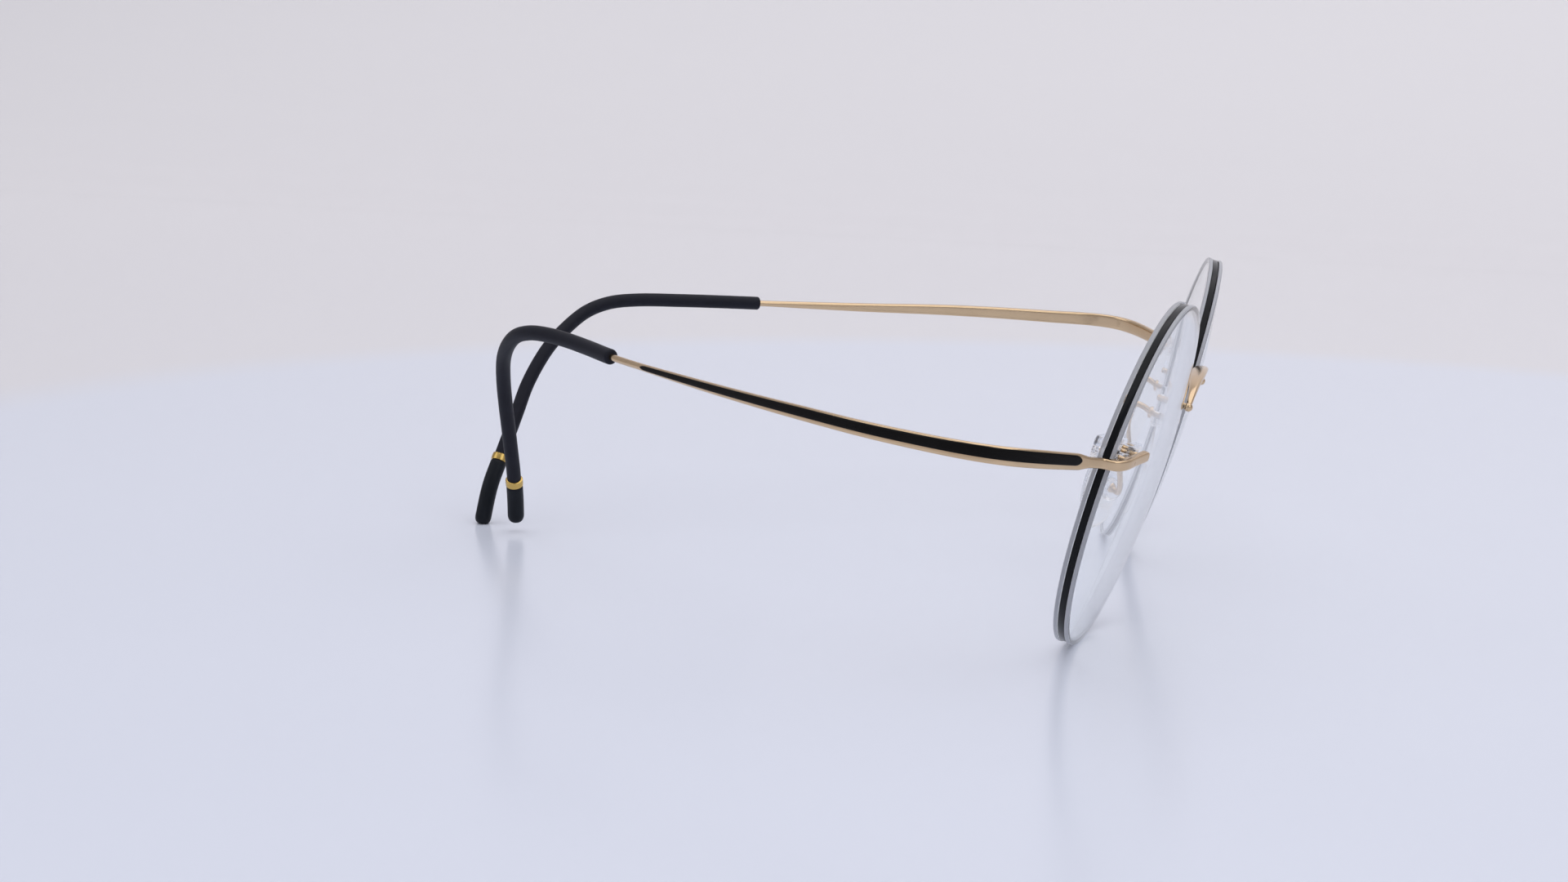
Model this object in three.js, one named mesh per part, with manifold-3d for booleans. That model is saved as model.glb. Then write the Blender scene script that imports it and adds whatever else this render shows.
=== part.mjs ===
// Rimless, hingeless wire eyeglasses, standing open on the lens bottoms and the two temple tips.
// Millimetres, +Z up. X is the wearer's lateral axis (left eye at +X), the front faces -Y, the temples run to +Y.
// The origin is on the standing surface, under the middle of the bounding box.
import * as THREE from 'three';
import { mergeVertices } from 'three/addons/utils/BufferGeometryUtils.js';
import Module from 'manifold-3d';

const wasm = await Module();
wasm.setup();

// ---------------------------------------------------------------- driving dimensions
const LENS_A = 22.5;          // half width of a lens
const LENS_B = 22.0;          // half height of a lens
const LENS_T = 1.97;          // edge thickness
const LENS_R_FRONT = 120;     // front surface radius
const LENS_R_REAR = 118;      // rear surface radius
const HALF_SPACING = 32.1;    // lens centre to mid-plane
const LEAN = 14.7;            // lens plane leans forward at the top while standing, degrees
const WRAP = 5.9;             // face-form wrap of each lens, degrees
const GROOVE_W = 0.95;        // groove round the rim
const GROOVE_D = 0.60;
const RING_W = 0.80;          // accent ring section, lying in the groove
const RING_OUT = 0.18;        // ring outer face below the rim
const RING_IN = 0.50;         // ring inner face below the rim
const HOLE_R = 0.75;          // drilled holes in the lens
const TUBE_R = 0.66;          // bushing sleeve outer radius
const TUBE_BORE = 0.46;       // bushing sleeve bore radius
const PIN_R = 0.40;           // pins of the metal parts
const PIN_PITCH = 2.5;        // distance between the two temple-side pins
const TEMPLE_V = 5.0;         // height of the temple attachment above the lens centre, in the lens plane
const PLATE_H = 1.25;         // gold end: height
const PLATE_TH = 0.95;        // gold end: thickness
const BRIDGE_V = 7.2;         // height of the bridge pin above the lens centre
const PADARM_V = 4.9;         // height of the pad-arm pin above the lens centre
const SLEEVE_R = 1.02;        // ear sleeve outer radius
const SLEEVE_BORE = 0.58;     // ear sleeve bore radius
const WIRE_R = 0.45;          // round end of the temple wire
const CAP_R = 1.20;           // tip cap radius
const RING_TIP_R = 1.28;      // tip ring radius
const FLEX_GAP = 0.70;        // free gap in the neck, where the temple flexes
const S_FLEX = 2.2;           // arc length from the corner to the middle of that gap
const S_INLAY = [4.2, 75.5];  // enamel stripe, start and end arc length

// Temple centre lines from beside the lens edge to the tip, both written for the left side. The two wires were
// bent by hand and rest a little differently: the tips pass each other and only the left one reaches the surface.
// sleeve and ring are arc lengths.
const SIDE = {
  left: {
    sleeve: 77.5, ring: 133.6,
    path: [
      [55.00, 0.80, 26.60], [67.45, 11.25, 28.70], [65.04, 23.80, 29.40], [58.89, 37.27, 30.10], [50.63, 50.75, 30.60],
      [41.95, 63.60, 31.28], [37.78, 69.67, 31.61], [33.65, 75.69, 31.88], [30.52, 81.84, 31.91], [28.63, 85.57, 31.45],
      [26.36, 88.44, 30.20], [23.05, 90.87, 27.65], [20.01, 92.64, 24.78], [16.63, 94.35, 20.12], [13.94, 95.11, 15.86],
      [12.11, 95.69, 12.72], [10.10, 96.35, 9.25], [8.13, 97.09, 5.48], [6.60, 97.75, 0.0],
    ],
  },
  right: {
    sleeve: 82.7, ring: 137.6,
    path: [
      [55.00, 0.80, 26.60], [66.73, 11.93, 28.70], [62.95, 24.14, 29.40], [55.33, 36.83, 30.10], [45.61, 49.31, 30.60],
      [35.52, 61.47, 31.20], [30.95, 66.96, 31.57], [27.17, 71.22, 32.02], [24.08, 75.30, 32.45], [22.15, 78.42, 32.66],
      [20.34, 81.26, 32.55], [18.10, 83.96, 31.79], [15.15, 86.27, 30.10], [11.55, 88.25, 27.46], [8.57, 89.30, 24.13],
      [6.03, 89.85, 20.40], [3.78, 90.20, 16.85], [1.66, 90.50, 13.23], [-0.46, 90.80, 9.58], [-2.43, 91.12, 5.23],
      [-3.41, 91.29, 1.51],
    ],
  },
};

// ---------------------------------------------------------------- helpers
const rad = THREE.MathUtils.degToRad;
const V = (x, y, z) => new THREE.Vector3(x, y, z);

function clean(geo) {
  const g = geo.clone();
  g.deleteAttribute('normal');
  g.deleteAttribute('uv');
  return mergeVertices(g, 1e-4);
}
function solid(geo) {
  const g = clean(geo);
  return new wasm.Manifold(new wasm.Mesh({
    numProp: 3,
    vertProperties: new Float32Array(g.attributes.position.array),
    triVerts: new Uint32Array(g.index.array),
  }));
}
function toGeometry(manifold) {
  const m = manifold.getMesh();
  const g = new THREE.BufferGeometry();
  const n = m.numProp;
  const pos = new Float32Array((m.vertProperties.length / n) * 3);
  for (let i = 0; i < pos.length / 3; i++) {
    for (let k = 0; k < 3; k++) pos[i * 3 + k] = m.vertProperties[i * n + k];
  }
  g.setAttribute('position', new THREE.BufferAttribute(pos, 3));
  g.setIndex(Array.from(m.triVerts));
  g.computeVertexNormals();
  return g;
}
// the same solid for the other side of the wearer's face
function mirrored(geo) {
  const g = clean(geo);
  const p = g.attributes.position;
  for (let i = 0; i < p.count; i++) p.setX(i, -p.getX(i));
  const idx = Array.from(g.index.array);
  for (let i = 0; i < idx.length; i += 3) { const t = idx[i]; idx[i] = idx[i + 1]; idx[i + 1] = t; }
  g.setIndex(idx);
  g.computeVertexNormals();
  return g;
}
// rotation-minimising frames along a curve between two arc lengths
function frames(curve, s0, s1, n, up) {
  const L = curve.getLength();
  const pts = [], tan = [];
  for (let i = 0; i <= n; i++) {
    const u = Math.min(1, Math.max(0, (s0 + (s1 - s0) * i / n) / L));
    pts.push(curve.getPointAt(u));
    tan.push(curve.getTangentAt(u).normalize());
  }
  const side = [];
  let r = new THREE.Vector3().crossVectors(tan[0], up).normalize();
  side.push(r.clone());
  for (let i = 0; i < n; i++) {
    const v1 = pts[i + 1].clone().sub(pts[i]);
    const c1 = v1.dot(v1);
    const rl = r.clone().sub(v1.clone().multiplyScalar((2 / c1) * v1.dot(r)));
    const tl = tan[i].clone().sub(v1.clone().multiplyScalar((2 / c1) * v1.dot(tan[i])));
    const v2 = tan[i + 1].clone().sub(tl);
    const c2 = v2.dot(v2);
    r = c2 < 1e-12 ? rl : rl.clone().sub(v2.clone().multiplyScalar((2 / c2) * v2.dot(rl)));
    r.normalize();
    side.push(r.clone());
  }
  const upv = side.map((s, i) => new THREE.Vector3().crossVectors(s, tan[i]).normalize());
  return { pts, tan, side, up: upv };
}
// A bar swept along a curve: a unit cylinder bent on to the curve. section(t) gives half thickness (side),
// half height (up), corner exponent (1 round, towards 0 square) and optional offsets to the side and up.
function bar(curve, s0, s1, n, sides, section, up = V(0, 0, 1)) {
  const f = frames(curve, s0, s1, n, up);
  const g = new THREE.CylinderGeometry(1, 1, 1, sides, n, false);
  const p = g.attributes.position;
  for (let i = 0; i < p.count; i++) {
    const x = p.getX(i), y = p.getY(i), z = p.getZ(i);
    const k = Math.round((0.5 - y) * n);          // top cap of the cylinder is the start of the bar
    const t = k / n;
    const q = section(t);
    const rr = Math.hypot(x, z);
    let a = 0, b = 0;
    if (rr > 1e-6) {
      const c = x / rr, s = z / rr, e = q.e ?? 1;
      a = Math.sign(c) * Math.pow(Math.abs(c), e) * q.w * rr;
      b = Math.sign(s) * Math.pow(Math.abs(s), e) * q.h * rr;
    }
    a += q.off ?? 0;
    b += q.lift ?? 0;
    const w = f.pts[k].clone().addScaledVector(f.side[k], a).addScaledVector(f.up[k], b);
    p.setXYZ(i, w.x, w.y, w.z);
  }
  return orient(g);
}
// faces pointing out
function orient(geo) {
  const g = clean(geo);
  const p = g.attributes.position, idx = g.index.array;
  let vol = 0;
  const a = V(0, 0, 0), b = V(0, 0, 0), c = V(0, 0, 0);
  for (let i = 0; i < idx.length; i += 3) {
    a.fromBufferAttribute(p, idx[i]); b.fromBufferAttribute(p, idx[i + 1]); c.fromBufferAttribute(p, idx[i + 2]);
    vol += a.dot(b.cross(c));
  }
  if (vol < 0) {
    const arr = Array.from(idx);
    for (let i = 0; i < arr.length; i += 3) { const t = arr[i]; arr[i] = arr[i + 1]; arr[i + 1] = t; }
    g.setIndex(arr);
  }
  g.computeVertexNormals();
  return g;
}
// cylinder from point a to point b
function rod(a, b, r, seg = 12) {
  const d = b.clone().sub(a);
  const g = new THREE.CylinderGeometry(r, r, d.length(), seg);
  g.applyQuaternion(new THREE.Quaternion().setFromUnitVectors(V(0, 1, 0), d.clone().normalize()));
  g.translate((a.x + b.x) / 2, (a.y + b.y) / 2, (a.z + b.z) / 2);
  return g;
}
// block with its corners cut, in a frame given by a matrix
function block(w, h, d, bevel) {
  const s = new THREE.Shape();
  const x = w / 2, y = h / 2, c = bevel;
  s.moveTo(-x + c, -y); s.lineTo(x - c, -y); s.lineTo(x, -y + c); s.lineTo(x, y - c);
  s.lineTo(x - c, y); s.lineTo(-x + c, y); s.lineTo(-x, y - c); s.lineTo(-x, -y + c); s.closePath();
  const g = new THREE.ExtrudeGeometry(s, { depth: d, bevelEnabled: false });
  g.translate(0, 0, -d / 2);
  return g;
}

// ---------------------------------------------------------------- lens frame (left side)
const be = rad(LEAN), wr = rad(WRAP);
const n0 = V(0, -Math.cos(be), -Math.sin(be));                   // forward normal before wrap
const U = V(0, -Math.sin(be), Math.cos(be));                     // up in the lens plane
const E = V(1, 0, 0).multiplyScalar(Math.cos(wr)).addScaledVector(n0, -Math.sin(wr)); // towards the temple
const N = n0.clone().multiplyScalar(Math.cos(wr)).addScaledVector(V(1, 0, 0), Math.sin(wr));
const C = V(HALF_SPACING, 0, LENS_B * Math.cos(be) + 0.5 * LENS_T * Math.sin(be) + 0.01);
const M = new THREE.Matrix4().makeBasis(E, U, N).setPosition(C);
const at = (u, v, w) => V(u, v, w).applyMatrix4(M);               // lens coordinates to world
const sagF = (r) => LENS_R_FRONT - Math.sqrt(LENS_R_FRONT ** 2 - r * r);
const sagR = (r) => LENS_R_REAR - Math.sqrt(LENS_R_REAR ** 2 - r * r);
const frontW = (r) => LENS_T / 2 + sagF(LENS_B) - sagF(r);
const rearW = (r) => -LENS_T / 2 + sagR(LENS_B) - sagR(r);
const rearAt = (u, v) => rearW(Math.hypot(u * LENS_B / LENS_A, v));  // rear surface over a point of the lens
const edgeU = (v) => LENS_A * Math.sqrt(1 - (v / LENS_B) ** 2);   // half width of the outline at height v

const T_U = [edgeU(TEMPLE_V) - 1.75, edgeU(TEMPLE_V) - 1.75 - PIN_PITCH];   // temple-side holes
const T_V = [TEMPLE_V + 0.35, TEMPLE_V + 0.80];                             // they climb a little towards the nose
const B_U = -(edgeU(BRIDGE_V) - 1.9);                                      // bridge pin hole
const A_U = -(edgeU(PADARM_V) - 2.0);                                      // pad-arm pin hole

function makeLens() {
  const p = [];
  for (let i = 0; i <= 3; i++) { const r = LENS_B * i / 3; p.push([r, frontW(r)]); }
  const g = GROOVE_W / 2;
  p.push([LENS_B, g], [LENS_B - GROOVE_D, g * 0.95], [LENS_B - GROOVE_D, -g * 0.95], [LENS_B, -g]);
  for (let i = 3; i >= 0; i--) { const r = LENS_B * i / 3; p.push([r, rearW(r)]); }
  const pts = p.map(([r, w]) => new THREE.Vector2(Math.max(0, r), w));
  const geo = new THREE.LatheGeometry(pts.reverse(), 40);
  geo.rotateX(Math.PI / 2);                 // lathe axis on to the lens normal
  geo.scale(LENS_A / LENS_B, 1, 1);
  let m = solid(orient(geo));
  const holes = [[T_U[0], T_V[0]], [T_U[1], T_V[1]], [B_U, BRIDGE_V], [A_U, PADARM_V]];
  for (const [u, v] of holes) {
    const h = new THREE.CylinderGeometry(HOLE_R, HOLE_R, 12, 10);
    h.rotateX(Math.PI / 2);
    h.translate(u, v, 0);
    m = m.subtract(solid(h));
  }
  const out = toGeometry(m);
  out.applyMatrix4(M);
  return out;
}
function makeRing() {
  const ro = LENS_B - RING_OUT, ri = LENS_B - RING_IN, h = RING_W / 2;
  const pts = [[ri, -h * 0.8], [ro - 0.08, -h], [ro, -h * 0.55], [ro, h * 0.55], [ro - 0.08, h], [ri, h * 0.8], [ri, -h * 0.8]]
    .map(([r, w]) => new THREE.Vector2(r, w));
  const geo = new THREE.LatheGeometry(pts, 40);
  geo.rotateX(Math.PI / 2);
  geo.scale(LENS_A / LENS_B, 1, 1);
  const g = orient(geo);
  g.applyMatrix4(M);
  return g;
}

// ---------------------------------------------------------------- gold temple end, in front of the lens
const uEdge = edgeU(TEMPLE_V);
const slope = (uEdge - 2) / LENS_R_FRONT;
const wPlate = frontW(uEdge - 3.0) + 1.72;       // middle of the plate over the holes
for (const k of ['left', 'right']) {
  SIDE[k].crv = new THREE.CatmullRomCurve3(SIDE[k].path.map((q) => V(...q)), false, 'centripetal');
  SIDE[k].crv.arcLengthDivisions = 600;
  SIDE[k].L = SIDE[k].crv.getLength();
}
const onTemple = (k, s) => SIDE[k].crv.getPointAt(Math.min(1, s / SIDE[k].L));
const pEnd = at(uEdge - 5.0, TEMPLE_V + 1.0, wPlate + 2.0 * slope * 1.2);
const pCorner = at(uEdge + 0.75, TEMPLE_V, wPlate - 1.1);
// one smooth curve through the end plate, the corner and the start of the temple
function endCurve(k) {
  const a = pEnd, b = pCorner, pBeside = onTemple(k, 0);
  const ab = b.clone().sub(a).normalize();
  const pts = [a, a.clone().lerp(b, 0.45), b.clone().addScaledVector(ab, -0.7)];
  pts.push(b.clone().addScaledVector(ab, 0.15).add(pBeside.clone().sub(b).normalize().multiplyScalar(0.55)));
  for (let s = 0.4; s <= 6.1; s += 1.4) pts.push(onTemple(k, s));
  return new THREE.CatmullRomCurve3(pts, false, 'centripetal');
}
// arc length on a curve that is nearest a point
function nearest(curve, p) {
  let best = 0, bd = 1e9;
  for (let i = 0; i <= 1200; i++) { const d = curve.getPointAt(i / 1200).distanceTo(p); if (d < bd) { bd = d; best = i / 1200; } }
  return best * curve.getLength();
}
function makeEndpiece(k) {
  const crv = endCurve(k);
  const stop = nearest(crv, onTemple(k, S_FLEX - FLEX_GAP / 2));
  let m = solid(bar(crv, 0, stop, 16, 8, () => ({ w: PLATE_TH / 2, h: PLATE_H / 2, e: 0.45 }), U));
  T_U.forEach((u, i) => {
    m = m.add(solid(rod(at(u, T_V[i], wPlate + 0.1), at(u, T_V[i], rearW(u) - 1.25), PIN_R, 8)));
  });
  return toGeometry(m);
}
function plateWithBores(w, h, d, u, v, wc, tilt, bores, r) {
  const g = block(w, h, d, 0.35);
  g.rotateY(tilt);
  g.translate(u, v, wc);
  let m = solid(g);
  for (const [bu, bv] of bores) {
    const h2 = new THREE.CylinderGeometry(r, r, 8, 12);
    h2.rotateX(Math.PI / 2);
    h2.translate(bu, bv, wc);
    m = m.subtract(solid(h2));
  }
  return m;
}
const uMid = (T_U[0] + T_U[1]) / 2;
const tiltT = Math.asin(uMid / LENS_R_FRONT);
function makeTempleSpacer() {
  const wc = frontW(uMid) + 0.12 + 0.38;
  const m = plateWithBores(5.0, 2.7, 0.72, uMid, TEMPLE_V + 0.75, wc, tiltT, T_U.map((u, i) => [u, T_V[i]]), TUBE_R + 0.06);
  const g = toGeometry(m);
  g.applyMatrix4(M);
  return g;
}
function sleevePair(list, plateW, plateH, u, v, tilt) {
  // rear plate with one tube per hole standing forward through the lens
  const wc = rearAt(u, v) - 0.2 - 0.40;
  const g = block(plateW, plateH, 0.8, 0.4);
  g.rotateY(tilt);
  g.translate(u, v, wc);
  let m = solid(g);
  for (const [bu, bv] of list) {
    const len = frontW(Math.abs(bu)) + 0.35 - wc;
    const t = new THREE.CylinderGeometry(TUBE_R, TUBE_R, len, 12);
    t.rotateX(Math.PI / 2);
    t.translate(bu, bv, wc + len / 2);
    m = m.add(solid(t));
  }
  for (const [bu, bv] of list) {
    const b = new THREE.CylinderGeometry(TUBE_BORE, TUBE_BORE, 12, 10);
    b.rotateX(Math.PI / 2);
    b.translate(bu, bv, 0);
    m = m.subtract(solid(b));
  }
  const out = toGeometry(m);
  out.applyMatrix4(M);
  return out;
}
const makeTempleBushing = () => sleevePair(T_U.map((u, i) => [u, T_V[i]]), 5.0, 2.7, uMid, TEMPLE_V + 0.75, tiltT);
const bMidU = (B_U + A_U) / 2, bMidV = (BRIDGE_V + PADARM_V) / 2;
function makeBridgeBushing() {
  const wc = rearAt(bMidU, bMidV) - 0.22 - 0.40;
  const g = block(2.9, 5.2, 0.8, 0.7);
  g.rotateY(-Math.asin(-bMidU / LENS_R_FRONT));
  g.rotateZ(Math.atan2(BRIDGE_V - PADARM_V, B_U - A_U) - Math.PI / 2);
  g.translate(bMidU, bMidV, wc);
  let m = solid(g);
  for (const [bu, bv] of [[B_U, BRIDGE_V], [A_U, PADARM_V]]) {
    const len = frontW(Math.hypot(bu, bv)) - 0.06 - wc;
    const t = new THREE.CylinderGeometry(TUBE_R, TUBE_R, len, 12);
    t.rotateX(Math.PI / 2);
    t.translate(bu, bv, wc + len / 2);
    m = m.add(solid(t));
  }
  for (const [bu, bv] of [[B_U, BRIDGE_V], [A_U, PADARM_V]]) {
    const b = new THREE.CylinderGeometry(TUBE_BORE, TUBE_BORE, 12, 10);
    b.rotateX(Math.PI / 2);
    b.translate(bu, bv, 0);
    m = m.subtract(solid(b));
  }
  const out = toGeometry(m);
  out.applyMatrix4(M);
  return out;
}

// ---------------------------------------------------------------- bridge
// A thin leaf-shaped arch in front of the lenses, with a ball end and a pin at each side.
function makeBridge() {
  const wB = frontW(Math.hypot(B_U, BRIDGE_V)) + 0.75;
  const b0 = at(B_U, BRIDGE_V, wB);
  const f = V(0, -1, 0);                           // the leaf is widest towards the front
  const pts = [];
  const x0 = b0.x;
  const half = [
    b0, V(x0 * 0.80, b0.y - 0.25, b0.z + 1.45), V(x0 * 0.53, b0.y - 0.35, b0.z + 2.45), V(x0 * 0.25, b0.y - 0.4, b0.z + 2.9), V(0, b0.y - 0.4, b0.z + 3.05),
  ];
  for (const q of half) pts.push(q);
  for (let i = half.length - 2; i >= 0; i--) pts.push(V(-half[i].x, half[i].y, half[i].z));
  const crv = new THREE.CatmullRomCurve3(pts, false, 'centripetal');
  const L = crv.getLength();
  const body = bar(crv, 0, L, 20, 8, (t) => {
    const s = Math.abs(t - 0.5) * 2;             // 0 in the middle, 1 at the ends
    const leaf = Math.pow(Math.cos(Math.min(1, s) * Math.PI / 2), 1.3);
    return { w: 0.31 + 0.16 * leaf, h: 0.34 + 0.80 * leaf, e: 0.8 };
  }, f);
  let m = solid(body);
  for (const sx of [1, -1]) {
    const ball = new THREE.SphereGeometry(0.57, 10, 6);
    ball.translate(sx * b0.x, b0.y, b0.z);
    m = m.add(solid(ball));
    let pin = rod(at(B_U, BRIDGE_V, wB), at(B_U, BRIDGE_V, rearW(Math.hypot(B_U, BRIDGE_V)) - 1.2), PIN_R, 8);
    if (sx < 0) pin = mirrored(pin);
    m = m.add(solid(pin));
  }
  return toGeometry(m);
}

// ---------------------------------------------------------------- nose pad, its socket and its arm
const aRear = rearW(Math.hypot(A_U, PADARM_V));
const pPin = at(A_U, PADARM_V, aRear - 1.45);
const PAD_C = V(8.6, 5.2, 15.2);                       // middle of the pad
const padN = V(-0.72, 0.66, 0.20).normalize();         // pad face looks at the nose
const padUp = V(0.24, -0.05, 0.97);
padUp.addScaledVector(padN, -padUp.dot(padN)).normalize();
const padSide = new THREE.Vector3().crossVectors(padUp, padN).normalize();
const PADM = new THREE.Matrix4().makeBasis(padSide, padUp, padN).setPosition(PAD_C);
const padAt = (a, b, c) => V(a, b, c).applyMatrix4(PADM);
const BALL = padAt(0, 1.0, -2.4);                      // ball end of the arm = rocking centre
function makePadArm() {
  const back = padAt(0, 1.0, -4.1);
  const pts = [
    pPin, pPin.clone().addScaledVector(N, -0.9).add(V(0, 0, 0.35)), V(12.1, 1.3, 27.35), V(12.3, 2.7, 25.9), V(12.2, 3.1, 23.9),
    V(12.3, 3.0, 20.6), back.clone().add(V(0.3, -0.1, 1.8)), back.clone(), BALL,
  ];
  const crv = new THREE.CatmullRomCurve3(pts, false, 'centripetal');
  const body = bar(crv, 0, crv.getLength(), 22, 6, () => ({ w: 0.40, h: 0.40, e: 1 }), V(0, 0.2, 1));
  let m = solid(body);
  m = m.add(solid(rod(at(A_U, PADARM_V, frontW(Math.hypot(A_U, PADARM_V)) + 0.15), pPin.clone().addScaledVector(N, -0.2), PIN_R, 8)));
  m = m.add(solid(rod(at(A_U, PADARM_V, aRear - 1.20), at(A_U, PADARM_V, aRear - 1.75), 0.8, 12)));
  const ball = new THREE.SphereGeometry(0.85, 8, 6);
  ball.translate(BALL.x, BALL.y, BALL.z);
  m = m.add(solid(ball));
  return toGeometry(m);
}
function makePadCup() {
  // cup round the ball, open at the back for the arm
  const pr = [[0, 1.45], [1.55, 1.45], [1.75, 1.1], [1.75, -0.55], [1.30, -0.9], [1.18, -0.55], [1.18, 0.15], [0.75, 1.02], [0, 1.02]];
  const geo = new THREE.LatheGeometry(pr.map(([r, y]) => new THREE.Vector2(r, y)), 12);
  geo.rotateX(Math.PI / 2);
  const g = orient(geo);
  g.applyMatrix4(new THREE.Matrix4().makeBasis(padSide, padUp, padN).setPosition(BALL));
  return g;
}
function makePad() {
  // drop-shaped pad: outline swept in thickness, thinner at the rim
  const g = new THREE.SphereGeometry(1, 16, 8);
  const p = g.attributes.position;
  for (let i = 0; i < p.count; i++) {
    const x = p.getX(i), y = p.getY(i), z = p.getZ(i);
    const wide = 1 - 0.16 * y;                        // wider at the bottom
    const zz = z > 0 ? z * 1.05 : z * 0.75;
    p.setXYZ(i, x * 3.3 * wide, y * 5.8, zz);
  }
  let m = solid(orient(g));
  // flat seat for the socket on the back
  const cut = new THREE.CylinderGeometry(2.0, 2.0, 3, 14);
  cut.rotateX(Math.PI / 2);
  cut.translate(0, 1.0, -0.60 - 1.5);
  m = m.subtract(solid(cut));
  const out = toGeometry(m);
  out.applyMatrix4(PADM);
  return out;
}

// ---------------------------------------------------------------- temple: wire, enamel, sleeve, ring, cap
const S0 = S_FLEX + FLEX_GAP / 2;
const lerp = THREE.MathUtils.lerp;
function tableAt(tab, s) {
  for (let i = 1; i < tab.length; i++) {
    if (s <= tab[i][0]) {
      const [a, b] = [tab[i - 1], tab[i]];
      const k = (s - a[0]) / (b[0] - a[0]);
      return a.map((v, j) => lerp(v, b[j], Math.max(0, Math.min(1, k))));
    }
  }
  return tab[tab.length - 1];
}
// arc length, half thickness, half height, corner exponent
const STRIP = [
  [0, 0.47, 0.62, 0.5], [2.6, 0.47, 0.62, 0.5], [4.3, 0.49, 0.94, 0.5], [6, 0.50, 0.98, 0.5], [10, 0.50, 1.04, 0.5], [14, 0.52, 1.06, 0.5],
  [20, 0.52, 1.02, 0.5], [31, 0.52, 0.94, 0.5], [43, 0.50, 0.86, 0.55], [52, 0.50, 0.76, 0.6], [61, 0.48, 0.66, 0.7], [70, 0.46, 0.54, 0.85],
  [76, WIRE_R, WIRE_R, 1], [200, WIRE_R, WIRE_R, 1],
];
const sec = (s) => { const [, w, h, e] = tableAt(STRIP, s); return { w, h, e }; };
function makeTempleWire(k) {
  const s1 = SIDE[k].L - 2.2;
  return bar(SIDE[k].crv, S0, s1, 46, 8, (t) => sec(S0 + (s1 - S0) * t));
}
// enamel stripe on the outer face, set a little above its middle, with rounded ends
function makeInlay(k) {
  const [a, b] = S_INLAY, n = 30, crv = SIDE[k].crv;
  const f = frames(crv, a, a + 2, 2, V(0, 0, 1));
  const outer = Math.sign(f.side[0].x) || 1;
  return bar(crv, a, b, n, 6, (t) => {
    const s = a + (b - a) * t;
    const q = sec(s);
    const d = Math.min(s - a, b - s) / 1.1;
    const end = d >= 1 ? 1 : Math.sqrt(Math.max(0.04, 1 - (1 - d) * (1 - d)));
    return { w: 0.07, h: Math.max(0.16, q.h * 0.62) * end, e: 0.7, off: outer * (q.w + 0.155), lift: 0.18 * (q.h - WIRE_R) / 0.55 };
  });
}
function tube(k, s0, s1, n, sides, ro, ri) {
  const { crv, L } = SIDE[k];
  const outer = solid(bar(crv, s0, s1, n, sides, (t) => ({ w: ro(t), h: ro(t), e: 1 })));
  const inner = solid(bar(crv, s0 - 0.6, Math.min(L, s1 + 0.6), n, 8, () => ({ w: ri, h: ri, e: 1 })));
  return toGeometry(outer.subtract(inner));
}
function makeSleeve(k) {
  const s0 = SIDE[k].sleeve, s1 = SIDE[k].ring - 0.9;
  return tube(k, s0, s1, 24, 10, (t) => (t < 0.012 ? SLEEVE_R - 0.35 : SLEEVE_R), SLEEVE_BORE);
}
function makeTipRing(k) {
  const r = SIDE[k].ring;
  return tube(k, r - 0.6, r + 0.6, 3, 12, (t) => ((t < 0.1 || t > 0.9) ? RING_TIP_R - 0.12 : RING_TIP_R), SLEEVE_BORE);
}
// the cap ends in a flat face; the left one stands on the surface with it
function makeTipCap(k) {
  const { crv, L, ring } = SIDE[k];
  const s0 = ring + 0.9;
  let m = solid(bar(crv, s0, L, 6, 12, (t) => ({ w: CAP_R - (t < 0.05 ? 0.15 : 0), h: CAP_R - (t < 0.05 ? 0.15 : 0), e: 1 })));
  const inner = solid(bar(crv, s0 - 0.6, L - 1.9, 5, 8, () => ({ w: SLEEVE_BORE, h: SLEEVE_BORE, e: 1 })));
  m = m.subtract(inner);
  const below = new THREE.BoxGeometry(40, 40, 10);
  below.translate(crv.getPointAt(1).x, crv.getPointAt(1).y, -5 + 0.001);
  return toGeometry(m.subtract(solid(below)));
}

// ---------------------------------------------------------------- materials and assembly
const mat = (color, roughness, metalness, extra = {}) => new THREE.MeshStandardMaterial({ color, roughness, metalness, ...extra });
const clear = (c = 0xe8eef2) => mat(c, 0.05, 0, { transparent: true, opacity: 0.35 });
const gold = () => mat(0xd9ac78, 0.18, 1);
const group = new THREE.Group();
function place(name, geo, make) {
  const m = new THREE.Mesh(geo, make());
  m.name = name;
  group.add(m);
}
const both = (base, build, make) => {
  place(`${base}_left`, build('left'), make);
  place(`${base}_right`, mirrored(build('right')), make);
};
both('lens', makeLens, () => clear());
both('accent_ring', makeRing, () => mat(0x0b0b0d, 0.12, 0));
both('endpiece', makeEndpiece, gold);
both('temple_spacer', makeTempleSpacer, () => clear(0xf2f2f2));
both('temple_bushing', makeTempleBushing, () => clear(0xf2f2f2));
place('bridge', makeBridge(), gold);
both('bridge_bushing', makeBridgeBushing, () => clear(0xf2f2f2));
both('pad_arm', makePadArm, gold);
both('pad_cup', makePadCup, () => clear(0xf2f2f2));
both('nose_pad', makePad, () => clear(0xf4f2ee));
both('temple_wire', makeTempleWire, gold);
both('enamel_inlay', makeInlay, () => mat(0x0a0a0b, 0.2, 0));
both('ear_sleeve', makeSleeve, () => mat(0x1b2028, 0.6, 0));
both('tip_ring', makeTipRing, gold);
both('tip_cap', makeTipCap, () => mat(0x0d0d0f, 0.45, 0));

// origin on the standing surface, under the middle of the bounding box
group.updateMatrixWorld(true);
const box = new THREE.Box3().setFromObject(group, true);
const dx = -(box.min.x + box.max.x) / 2, dy = -(box.min.y + box.max.y) / 2;
for (const m of group.children) m.geometry.translate(dx, dy, 0);

export default group;
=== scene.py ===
import math

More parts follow.
